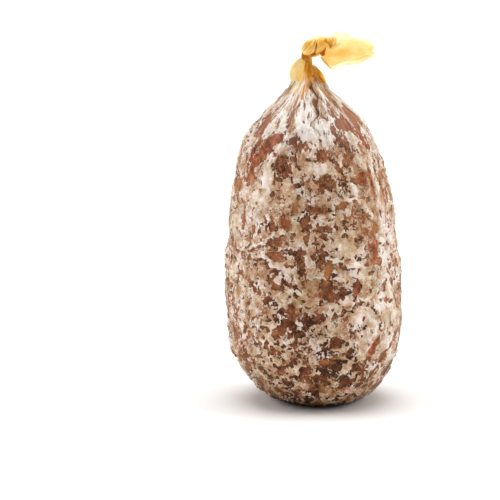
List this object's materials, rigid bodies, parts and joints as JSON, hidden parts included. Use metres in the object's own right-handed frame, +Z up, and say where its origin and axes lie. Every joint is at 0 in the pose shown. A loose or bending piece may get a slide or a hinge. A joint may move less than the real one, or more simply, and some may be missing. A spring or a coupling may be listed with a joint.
{
  "type": "cured sausage",
  "caption": "Whole oval cured sausage standing on its rounded end, with a mould-dusted casing gathered into a pleated neck, a knot and a flat loose tail on top.",
  "frame": {"origin": "on the surface that the sausage stands on, under the middle of its box", "axes": "+Z up along the sausage's length; the tail of the knotted casing points to +X; -Y is the side that faces the viewer"},
  "size_m": [0.0736, 0.0732, 0.153],
  "materials": {
    "mould_dusted_casing": "matt white mould film over wrinkled reddish-brown gut casing",
    "dry_casing": "dry translucent amber gut casing, twisted and pressed flat"
  },
  "bodies": {
    "root": {"sausage": "mould_dusted_casing"}
  },
  "joints": []
}
